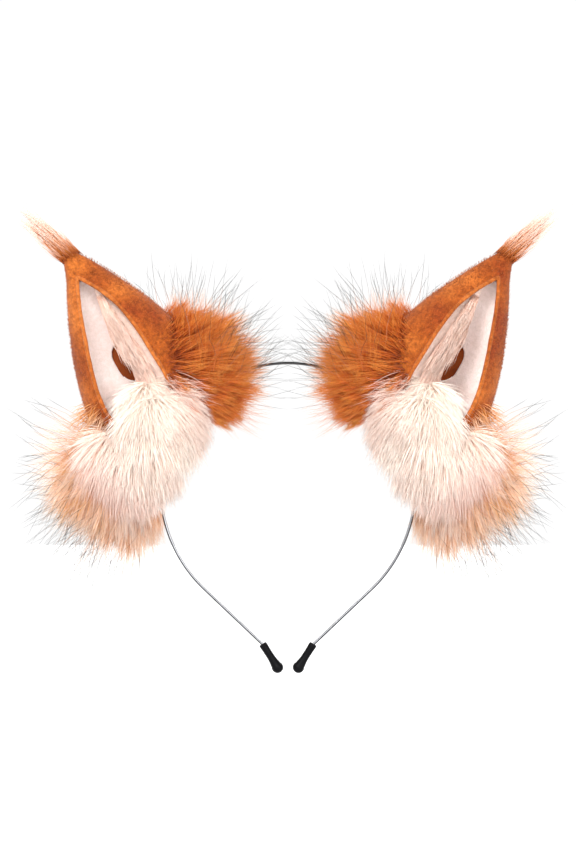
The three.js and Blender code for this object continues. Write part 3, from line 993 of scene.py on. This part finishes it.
def strand_mesh(paths, radii, tones, taper):
    """Tapered closed strands with three sides, and UVs that hold the strand's tone and its length."""
    count, points = paths.shape[:2]
    rings = points - 1
    size = rings * 3 + 1
    along = unit(np.gradient(paths, axis=1))
    side = unit(np.cross(along, np.array([0.31, 0.23, 0.92])))
    up = np.cross(along, side)
    turn = (np.arange(3) * 2 * np.pi / 3)[:, None]
    around = np.cos(turn) * side[:, :rings, None] + np.sin(turn) * up[:, :rings, None]
    s = np.arange(rings) / rings
    radius = radii[:, None] * (1 - taper * s**1.5)[None]
    ring = paths[:, :rings, None] + radius[:, :, None, None] * around
    verts = np.concatenate([ring.reshape(count, rings * 3, 3), paths[:, -1:]], axis=1).reshape(-1, 3)
    quads = wrapped_faces(rings, 3)
    j = np.arange(3)
    end = 3 * (rings - 1)
    tips = np.stack([end + j, end + (j + 1) % 3, np.full(3, size - 1)], axis=-1)
    tris = np.concatenate([tips, [[2, 1, 0]]])
    base = (np.arange(count) * size)[:, None, None]
    polys = [(p + base).reshape(-1, p.shape[1]) for p in (quads, tris)]
    cell = np.clip((tones * CELLS).astype(int), 0, CELLS - 1)[:, None, None]

    def uv(corners, rounds):
        across = (cell + 0.15 + 0.35 * rounds) / CELLS
        height = 0.02 + 0.96 * np.where(corners == size - 1, 1.0, (corners // 3) / rings)
        return np.stack([across, height + 0 * across], axis=-1).reshape(-1, corners.shape[1], 2)

    return verts, polys, [uv(quads, quads % 3), uv(tris, np.array([[0, 1, 0.5]] * 3 + [[2, 1, 0]]))]


def joined(*parts):
    """Several shapes of quads and triangles as one."""
    starts = np.cumsum([0] + [len(verts) for verts, _, _ in parts])
    polys = [np.concatenate([p[n] + start for (_, p, _), start in zip(parts, starts)]) for n in (0, 1)]
    uvs = [np.concatenate([uv[n] for _, _, uv in parts]) for n in (0, 1)]
    return np.concatenate([verts for verts, _, _ in parts]), polys, uvs


def core_mesh(lumps, tone, back=1.0):
    """The woven backing under the pile: soft lumps, each a closed ball, and flatter behind if asked."""
    rows, sides = 14, 24
    tilt = np.linspace(0, np.pi, rows + 2)[1:-1, None]
    turn = np.arange(sides) / sides * 2 * np.pi
    wide = np.sin(tilt)
    shape = np.stack([wide * np.cos(turn), wide * np.sin(turn), -np.cos(tilt) + 0 * turn], axis=-1)
    ball = np.concatenate([shape.reshape(-1, 3), [[0, 0, -1], [0, 0, 1]]])
    ball[:, 1] *= np.where(ball[:, 1] > 0, back, 1.0)
    polys = [wrapped_faces(rows, sides), pole_fans(rows, sides)]
    spot = np.array([(int(tone * CELLS) + 0.5) / CELLS, 0.06])
    uvs = [np.tile(spot, (len(p), p.shape[1], 1)) for p in polys]
    return joined(*[(ball * radii + centre, polys, uvs) for centre, radii in lumps])


def grow(name, paths, radii, tones, hair, slot, node=None, core=None, taper=0.8):
    """Strands in ear millimetres, with their backing if there is one, as one piece on each side."""
    shapes = [strand_mesh(paths, radii, tones, taper)] + ([core] if core else [])
    verts, polys, uvs = joined(*shapes)
    nodes = [node] if node else []
    on_both_sides(name, (ear_to_row(verts), polys, uvs), strand_material(hair), "ear", slot, nodes)


def on_lumps(lumps, count, back=1.0):
    """Random points on the outside of some overlapping ellipsoids, with their normals."""
    points, normals = [], []
    areas = np.array([radii[0] * radii[2] for _, radii in lumps])
    for n, (centre, radii) in enumerate(lumps):
        made = unit(rng.normal(size=(int(count * areas[n] / areas.sum() * 1.6), 3)))
        flat = np.where(made[:, 1] > 0, back, 1.0)
        made[:, 1] *= flat
        p = made * radii + centre
        made[:, 1] /= flat**2
        keep = np.ones(len(p), bool)
        for other, (other_centre, other_radii) in enumerate(lumps):
            if other != n:
                gap = (p - other_centre) / other_radii
                gap[:, 1] /= np.where(gap[:, 1] > 0, back, 1.0)
                keep &= (gap**2).sum(axis=-1) > 1
        points.append(p[keep])
        normals.append(unit(made / radii)[keep])
    points, normals = np.concatenate(points), np.concatenate(normals)
    order = rng.permutation(len(points))[:count]
    return points[order], normals[order]


def on_cone(count, angles, heights):
    """Random points of the ear's outside between two angles in degrees and two heights, with normals."""
    theta = rng.uniform(*np.radians(angles), count)
    u = rng.uniform(*heights, count)
    return on_ear(theta, u), ear_normal(theta, u)


def away_from(source, points, depth):
    """Directions away from a source, with less of it towards the front and back."""
    return unit((points - source) * (1, depth, 1))


def column(values):
    return np.asarray(values)[:, None]


def drawn(items, low, high):
    """A random number between two for each item."""
    return rng.uniform(low, high, len(items))


def jitter(points, amount):
    return rng.normal(size=points.shape) * amount


def toned(base, spread):
    return np.clip(base + rng.normal(0, spread, len(base)), 0, 0.999)


def taken(count, keep, *arrays):
    return [a[keep][:count] for a in arrays]


def kept_shallow(paths):
    """Hair that would stand far out in front or behind lies flatter there."""
    y = paths[..., 1]
    front, back = DEEPEST_FRONT + SOFT_LIMIT, DEEPEST_BACK - SOFT_LIMIT
    over_back = SOFT_LIMIT * np.tanh(np.maximum(y - back, 0) / (2 * SOFT_LIMIT))
    over_front = SOFT_LIMIT * np.tanh(np.maximum(front - y, 0) / (2 * SOFT_LIMIT))
    paths[..., 1] = np.clip(y, front, back) + over_back - over_front
    return paths


def pulled_up(paths):
    """Most strands that would hang past the fur's lower edge are shorter."""
    below = smoothstep(-ear_to_row(paths[:, -1])[:, 2] / MM, *LOWEST_HAIR)
    cut = below * drawn(paths, 0, 0.5) ** 0.7
    return paths[:, :1] + (paths - paths[:, :1]) * (1 - cut)[:, None, None]


def inside_ear(points, margin=0.0):
    x, y, z = points.T
    w, d = ear_width(z) + margin, ear_depth(z) + margin
    return ((x - EAR_MID) / w) ** 2 + (y / d) ** 2 < 1


def clear_of_ear(paths):
    """Which strands stay out of the ear beyond the first third of their points."""
    outer = paths[:, paths.shape[1] // 3 :]
    return ~inside_ear(outer.reshape(-1, 3)).reshape(outer.shape[:2]).any(axis=1)


def make_inner_tuft():
    points, normals = on_lumps(INNER_CORE, 32000, TUFT_BACK)
    facing = smoothstep(-normals[:, 1], -0.3, 0.2)
    under = points[:, 2] < foot_height(points[:, 0]) + 1
    seen = (facing > 0.6) | under | ~inside_ear(points, -1)
    keep = (rng.uniform(size=len(points)) < 0.05 + 0.4 * under + 0.95 * facing) & seen
    points, normals = taken(11700, keep, points, normals)
    x, _, z = points.T
    aside = column(smoothstep(-x, 8, 26))
    source = np.array([9.0, -24.0, 38.0]) * (1 - aside) + np.array([-6.0, -24.0, 24.0]) * aside
    source += jitter(points, (5.0, 0.0, 4.0))
    away = away_from(source, points, 0.35)
    flow = unit(away - (away * normals).sum(axis=-1, keepdims=True) * normals)
    lift = column(drawn(points, 0.14, 0.32))
    first = unit(flow * np.cos(lift) + normals * np.sin(lift) + jitter(points, 0.07))
    last = unit(flow + 0.3 * DOWN + 0.05 * normals + jitter(points, 0.09))
    height = smoothstep(z, 8, 22)
    low = smoothstep(-z, 6, 24)
    right = smoothstep(x, 2, 16)
    outer = smoothstep(-x - 0.4 * z, 12, 34)
    lengths = drawn(points, 13, 23) * (1 - 0.1 * height) * (1 - 0.2 * low) * (1 - 0.2 * right)
    lengths *= 1 + 0.4 * outer * drawn(points, 0, 1) ** 2
    paths = clumped(bent(points, first, last, lengths, 3), 1100, drawn(points, 0.0, 0.2))
    paths = kept_shallow(frizzed(paths, 0.8))
    pink = 0.9 * smoothstep(x, 8, 24) + smoothstep(-x, 10, 30) + 0.5 * outer + 0.5 * low
    tones = toned(0.15 + 0.55 * pink + 0.15 * waves(points, 16, 1.0, 21), 0.12)
    core = core_mesh(INNER_CORE, 0.4, TUFT_BACK)
    radii = drawn(points, 0.12, 0.2)
    grow("tuft_pile", paths, radii, tones, "cream_hair", "cream_fur", "inner_tuft", core)


def make_crown_fur():
    points, normals = on_cone(16000, (-85, 115), (-4, 43))
    x, _, z = points.T
    line = np.where(normals[:, 1] < 0.2, 16.5 + (z - 16) * 0.6, 15.0)
    beyond = x - line + rng.normal(0, 2.0, len(x))
    keep = (z > foot_height(x) + 0.5) & (beyond > 0)
    points, normals, beyond = taken(4900, keep, points, normals, beyond)
    more, more_normals = on_lumps(CROWN_CORE, 12000)
    under = more[:, 2] < foot_height(more[:, 0]) + 1
    more, more_normals = taken(5900, under | ~inside_ear(more, -1), more, more_normals)
    points, normals = np.concatenate([points, more]), np.concatenate([normals, more_normals])
    z = points[:, 2]
    away = away_from((12.0, 0.0, 27.0), points, 0.5)
    first = unit(away + 0.35 * normals + 0.2 * TO_CROWN + jitter(points, 0.1))
    last = unit(away + 0.3 * TO_CROWN + jitter(points, 0.16))
    top = smoothstep(z, 28, 42)
    reach = np.concatenate([0.45 + 0.55 * smoothstep(beyond, 0, 9), np.ones(len(more))])
    lengths = drawn(points, 13, 24) * (1 - 0.35 * top) * reach
    lengths *= 1 - 0.35 * smoothstep(-z, -9, 2)
    lengths *= 1 + 0.24 * waves(points, 7, 1.0, 41)
    paths = clumped(bent(points, first, last, lengths, 3), 420, drawn(points, 0.2, 0.9))
    paths = kept_shallow(frizzed(paths, 1.0))
    tones = toned(0.45 + 0.2 * waves(points, 14, 1.0, 23), 0.18)
    core = core_mesh(CROWN_CORE, 0.3)
    radii = drawn(points, 0.09, 0.15)
    grow("crown_pile", paths, radii, tones, "orange_hair", "orange_fur", "crown_fur", core)


def make_cheek_fur():
    points, normals = on_cone(22000, (85, 262), (-34, 33))
    x, _, z = points.T
    back = normals[:, 1] > 0.3
    top = np.where(back, 24 - 0.2 * np.abs(x), 7 + 0.95 * (-12 - x))
    keep = (z > foot_height(x) + 0.5) & (z < top - 12 * drawn(x, 0, 1) ** 2) & (back | (x < -10))
    points, normals = taken(4500, keep, points, normals)
    more, more_normals = on_lumps(CHEEK_CORE, 16000)
    more, more_normals = taken(6500, ~inside_ear(more, -1), more, more_normals)
    rim, rim_normals = on_cone(900, (180, 222), (4, 29))
    keep = rng.uniform(size=len(rim)) < 1 - smoothstep(rim[:, 2], 14, 29)
    rim, rim_normals = rim[keep], rim_normals[keep]
    points = np.concatenate([points, more, rim])
    normals = np.concatenate([normals, more_normals, rim_normals])
    over = column(np.arange(len(points)) >= len(points) - len(rim))
    x, y, z = points.T
    source = np.array([-10.0, 0.0, 12.0]) + column(smoothstep(z, 2, 16)) * (-3.0, 0.0, 13.0)
    away = away_from(source, points, 0.4)
    first = unit(away + (0.3 + 0.9 * over) * normals + jitter(points, 0.1))
    last = unit(away + 0.25 * DOWN + jitter(points, 0.15))
    lengths = drawn(points, 17, 29) * (1 - 0.6 * smoothstep(z, 4, 24))
    lengths *= 1 - 0.4 * smoothstep(x, -22, 0)
    lengths *= 1 + 0.2 * waves(points, 8, 1.0, 43)
    low = smoothstep(-z, 0, 16)
    paths = bent(points, first, last, lengths, 3)
    paths = clumped(paths, 600, drawn(points, 0.15, 0.85) ** (1 - 0.6 * low))
    paths = pulled_up(kept_shallow(frizzed(paths, 1.1)))
    front = smoothstep(-y, -2, 8)
    tip_x, _, tip_z = paths[:, -1].T
    pale = smoothstep(tip_x, -42, -31) * smoothstep(-tip_z, 22, 33)
    rusty = np.exp(-(((tip_x + 42) / 9) ** 2) - ((tip_z + 23) / 10) ** 2)
    shades = 0.5 + 0.25 * front + 0.4 * pale - 0.4 * rusty + 0.32 * waves(points, 13, 1.0, 25)
    tones = toned(shades, 0.2)
    core = core_mesh(CHEEK_CORE, 0.3)
    radii = drawn(points, 0.09, 0.15)
    grow("cheek_pile", paths, radii, tones, "peach_hair", "peach_fur", "cheek_fur", core)


def make_tip_tuft():
    count = 1100
    theta = rng.uniform(0, 2 * np.pi, count)
    u = 93.4 - 6.5 * rng.uniform(0, 1, count) ** 1.6
    points, normals = on_ear(theta, u), ear_normal(theta, u)
    lean = np.array([-math.sin(math.radians(19)), 0, math.cos(math.radians(19))])
    spread = jitter(points, (0.07, 0.07, 0.04))
    first = unit(lean + 0.05 * normals + spread)
    last = unit(lean - 0.04 * normals + 1.2 * spread + jitter(points, 0.07))
    lengths = 6 + 30 * rng.uniform(0, 1, count) ** 2.0
    paths = frizzed(clumped(bent(points, first, last, lengths), 60, rng.uniform(0.2, 0.8, count)), 0.9)
    tones = toned(0.25 + 0.06 * (lengths - 6), 0.2)
    grow("tip_pile", paths, rng.uniform(0.07, 0.12, count), tones, "tip_hair", "peach_fur", "tip_tuft")


def make_fold_hair():
    """A wisp of long hair that runs down the flap and into the tuft, and strays across the crown's fur."""
    count = 1700
    across = 0.6 * rng.uniform(0, 1, count) ** 1.3
    u = rng.uniform(18, 67.5, count)
    points = fold_point(across, u) + (0, -1.0, 0)
    outwards = np.array([-0.1, -0.95, 0.15])
    down = np.array([0.03, -0.1, -1.0])
    low = smoothstep(34 - u, 0, 14)
    lift = column(rng.uniform(0.25, 0.6, count) + 0.7 * low)
    first = unit(down + lift * outwards + jitter(points, 0.1))
    last = unit(down + 0.05 * outwards + jitter(points, 0.09))
    lengths = rng.uniform(10, 19, count) + 12 * low
    wisp = frizzed(clumped(bent(points, first, last, lengths), 120, rng.uniform(0.2, 0.85, count)), 0.8)
    strays = 210
    points = np.array([17.0, -17.0, 13.0]) + rng.normal(size=(strays, 3)) * (2.6, 1.5, 3.0)
    away = unit(TO_CROWN + column(rng.uniform(0.1, 1.2, strays)) * DOWN + (0, -0.25, 0))
    first = unit(away + (0, -0.5, 0) + jitter(points, 0.12))
    last = unit(away + jitter(points, 0.2))
    stray = frizzed(bent(points, first, last, rng.uniform(9, 23, strays)), 1.5)
    paths = np.concatenate([wisp, stray])
    tones = toned(0.55 + 0.3 * np.concatenate([low, np.ones(strays)]), 0.35)
    grow("fold_hair", paths, drawn(paths, 0.08, 0.14), tones, "wisp_hair", "cream_fur")


def fanned(count, lumps, fan, lengths):
    """Long hairs off some lumps, in a fan of directions given in degrees from the row's +X, turning up."""
    points, normals = on_lumps(lumps, count)
    turn = np.radians(rng.uniform(*fan, len(points))) - EAR_LEAN
    away = np.stack([np.cos(turn), 0.35 * rng.normal(size=len(points)), np.sin(turn)], axis=-1)
    outwards = (away * normals).sum(axis=-1) > 0.1
    points, normals, away = points[outwards], normals[outwards], away[outwards]
    first = unit(away + 0.15 * normals + jitter(points, 0.1))
    last = unit(away + jitter(points, 0.25))
    return bent(points, first, last, rng.uniform(*lengths, len(points)), steps=6)


def make_fringe(name, lumps, fan, lengths, hair, slot):
    """Fine hairs a little longer than the pile, which soften the outline of the outer fur."""
    paths = fanned(3600, lumps, fan, lengths)
    paths = frizzed(clumped(paths, 260, drawn(paths, 0, 0.5)), 1.6)
    paths = pulled_up(kept_shallow(paths))
    paths = paths[clear_of_ear(paths)]
    radii = drawn(paths, 0.05, 0.08)
    tones = drawn(paths, 0, 0.999)
    grow(name, paths, radii, tones, hair, slot)


def make_guard_hair():
    """Long sparse hairs with black tips that stand clear of the pile, the crown's among the darkest."""
    crown = [
        fanned(250, CROWN_CORE, (-4, 110), (28, 46)),
        fanned(150, CROWN_CORE, (18, 62), (32, 50)),
        fanned(130, BEHIND_CROWN, (70, 145), (26, 44)),
    ]
    cheek = [
        fanned(380, CHEEK_CORE, (140, 285), (27, 43)),
        fanned(320, CHEEK_CORE, (218, 258), (30, 48)),
    ]
    paths = kept_shallow(frizzed(np.concatenate(crown + cheek), 2.4))
    tones = drawn(paths, 0, 0.999)
    tones[: sum(len(group) for group in crown)] *= 0.35
    kept = (ear_to_row(paths)[..., 0].min(axis=1) > -WIDEST * MM) & clear_of_ear(paths)
    paths, tones = paths[kept], tones[kept]
    grow("guard_hair", paths, drawn(paths, 0.07, 0.12), tones, "guard_hair", "peach_fur", taper=0.45)


def make_nap():
    """The short pile of the plush, which roughens the ear's outline and its folded edge."""
    u = EAR_TOP * rng.uniform(0, 1, 30000) ** 1.15
    first, last = mouth_angles(u)
    theta = first + (last - first) * drawn(u, 0, 1)
    keep = rng.uniform(size=len(u)) < ear_width(u) / EAR_HALF_WIDTH + 0.12
    theta, u = taken(NAP_HAIRS, keep, theta, u)
    points, normals = on_ear(theta, u), ear_normal(theta, u)
    points, normals = taken(NAP_HAIRS, u > foot_height(points[:, 0]) + 1, points, normals)
    points = points - 0.55 * normals
    lay = unit(np.array([0.1, 0, 1.0]) + jitter(points, 0.35))
    first = unit(normals + 0.5 * lay)
    last = unit(0.35 * normals + lay)
    paths = bent(points, first, last, drawn(points, 0.9, 1.5), steps=2)
    tones = toned(0.5 + 0.25 * waves(points, 18, 1.0, 31), 0.2)
    grow("ear_nap", paths, drawn(points, 0.06, 0.1), tones, "nap_hair", "plush")


make_inner_tuft()
make_crown_fur()
make_cheek_fur()
make_tip_tuft()
make_fold_hair()
make_fringe("crown_fringe", CROWN_CORE, (-50, 115), (18, 31), "fringe_orange", "orange_fur")
make_fringe("cheek_fringe", CHEEK_CORE, (150, 285), (20, 34), "fringe_peach", "peach_fur")
make_guard_hair()
make_nap()

# ---------------- cloth and felt, as cut

# For each sheet: flat width and length, area, how it is held, what it lies on and what is on it, in metres.
CUTS = {
    "ear_plush": ((0.150, 0.122), 0.00876, "stretched", "ear_stiffener", ["mouth_hem", "ear_nap"]),
    "lining_cloth": ((0.130, 0.105), 0.00659, "stretched", "ear_stiffener", []),
    "fold_cloth": ((0.018, 0.062), 0.00084, "folded", "ear_lining", ["fold_hair"]),
    "stiff_felt": ((0.140, 0.112), 0.00755, "folded", "base_pad", []),
    "foot_felt": ((0.037, 0.066), 0.00206, "stretched", "wire_sleeve", []),
    "felt_tunnel": ((0.0105, 0.049), 0.00047, "folded", "wire_arm", ["whip_thread"]),
}
for name, (flat, area, held, under, on_it) in CUTS.items():
    for side in FLIPS:
        extras = [bpy.data.objects[f"{side}_{extra}"] for extra in on_it]
